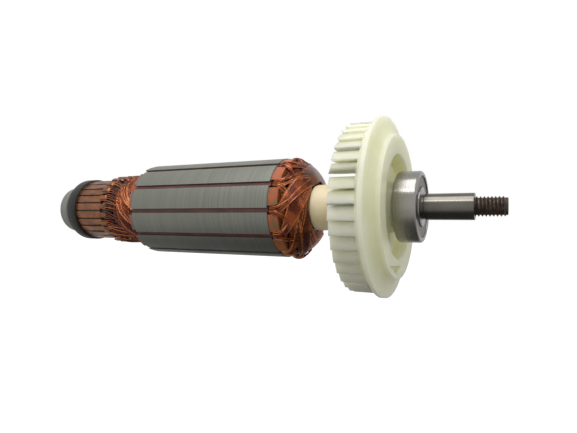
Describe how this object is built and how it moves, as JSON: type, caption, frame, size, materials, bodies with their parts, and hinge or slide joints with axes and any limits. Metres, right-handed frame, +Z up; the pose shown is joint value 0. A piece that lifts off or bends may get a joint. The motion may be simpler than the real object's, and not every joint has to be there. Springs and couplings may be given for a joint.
{
  "type": "motor armature",
  "caption": "Wound armature of a small hand-tool motor: laminated core, copper commutator, moulded fan and ball bearings on a threaded shaft.",
  "frame": {"origin": "centre of the drive-end bearing, on the shaft axis", "axes": "+X along the shaft towards its threaded drive end, +Z up, a slot of the core straight up"},
  "size_m": [0.1746, 0.0568, 0.0568],
  "materials": {
    "shaft_steel": "turned and ground steel",
    "sleeve_plastic": "ivory moulded thermoset, satin",
    "core_steel": "stacked silicon steel laminations under clear varnish",
    "insulator_fibre": "varnished vulcanised fibre",
    "liner_paper": "varnished slot paper",
    "wedge_fibre": "red vulcanised fibre",
    "enamelled_copper": "enamelled copper wire under varnish",
    "bar_copper": "turned copper, dulled",
    "commutator_resin": "dark brown moulded phenolic",
    "black_resin": "black moulded phenolic",
    "fan_nylon": "natural moulded nylon",
    "bearing_steel": "ground bearing steel",
    "shield_steel": "pressed steel sheet",
    "cage_nylon": "moulded nylon"
  },
  "bodies": {
    "drive_bearing_housing_ring": {"drive_bearing_outer_ring": "bearing_steel", "drive_bearing_front_shield": "shield_steel", "drive_bearing_rear_shield": "shield_steel"},
    "rotor": {"shaft": "shaft_steel", "shaft_sleeve": "sleeve_plastic", "core_laminations": "core_steel", "front_end_insulator": "insulator_fibre", "rear_end_insulator": "insulator_fibre", "slot_liners": "liner_paper", "armature_winding": "enamelled_copper", "commutator_hub": "commutator_resin", "insulating_washer": "black_resin", "fan": "fan_nylon", "drive_bearing_inner_ring": "bearing_steel", "rear_bearing_inner_ring": "bearing_steel", "commutator_bar_01": "bar_copper", "commutator_bar_02": "bar_copper", "commutator_bar_03": "bar_copper", "commutator_bar_04": "bar_copper", "commutator_bar_05": "bar_copper", "commutator_bar_06": "bar_copper", "commutator_bar_07": "bar_copper", "commutator_bar_08": "bar_copper", "commutator_bar_09": "bar_copper", "commutator_bar_10": "bar_copper", "commutator_bar_11": "bar_copper", "commutator_bar_12": "bar_copper", "commutator_bar_13": "bar_copper", "commutator_bar_14": "bar_copper", "commutator_bar_15": "bar_copper", "commutator_bar_16": "bar_copper", "commutator_bar_17": "bar_copper", "commutator_bar_18": "bar_copper", "commutator_bar_19": "bar_copper", "commutator_bar_20": "bar_copper", "commutator_bar_21": "bar_copper", "commutator_bar_22": "bar_copper", "commutator_bar_23": "bar_copper", "commutator_bar_24": "bar_copper", "slot_wedge_01": "wedge_fibre", "slot_wedge_02": "wedge_fibre", "slot_wedge_03": "wedge_fibre", "slot_wedge_04": "wedge_fibre", "slot_wedge_05": "wedge_fibre", "slot_wedge_06": "wedge_fibre", "slot_wedge_07": "wedge_fibre", "slot_wedge_08": "wedge_fibre", "slot_wedge_09": "wedge_fibre", "slot_wedge_10": "wedge_fibre", "slot_wedge_11": "wedge_fibre", "slot_wedge_12": "wedge_fibre"},
    "drive_ball_set": {"drive_bearing_balls": "bearing_steel", "drive_bearing_cage": "cage_nylon"},
    "rear_bearing_housing_ring": {"rear_bearing_outer_ring": "bearing_steel", "rear_bearing_front_shield": "shield_steel", "rear_bearing_rear_shield": "shield_steel"},
    "rear_ball_set": {"rear_bearing_balls": "bearing_steel", "rear_bearing_cage": "cage_nylon"}
  },
  "joints": [
    {"name": "rotor_spin", "type": "hinge", "parent": "drive_bearing_housing_ring", "child": "rotor", "pos_m": [0, 0, 0], "axis": [1, 0, 0], "continuous": true},
    {"name": "drive_balls_spin", "type": "hinge", "parent": "drive_bearing_housing_ring", "child": "drive_ball_set", "pos_m": [0, 0, 0], "axis": [1, 0, 0], "continuous": true},
    {"name": "rear_ring_spin", "type": "hinge", "parent": "rotor", "child": "rear_bearing_housing_ring", "pos_m": [-0.1444, 0, 0], "axis": [1, 0, 0], "continuous": true},
    {"name": "rear_balls_spin", "type": "hinge", "parent": "rotor", "child": "rear_ball_set", "pos_m": [-0.1444, 0, 0], "axis": [1, 0, 0], "continuous": true}
  ],
  "couplings": [
    {"joint": "drive_balls_spin", "follows": "rotor_spin", "ratio": 0.37},
    {"joint": "rear_balls_spin", "follows": "rear_ring_spin", "ratio": 0.63077}
  ]
}
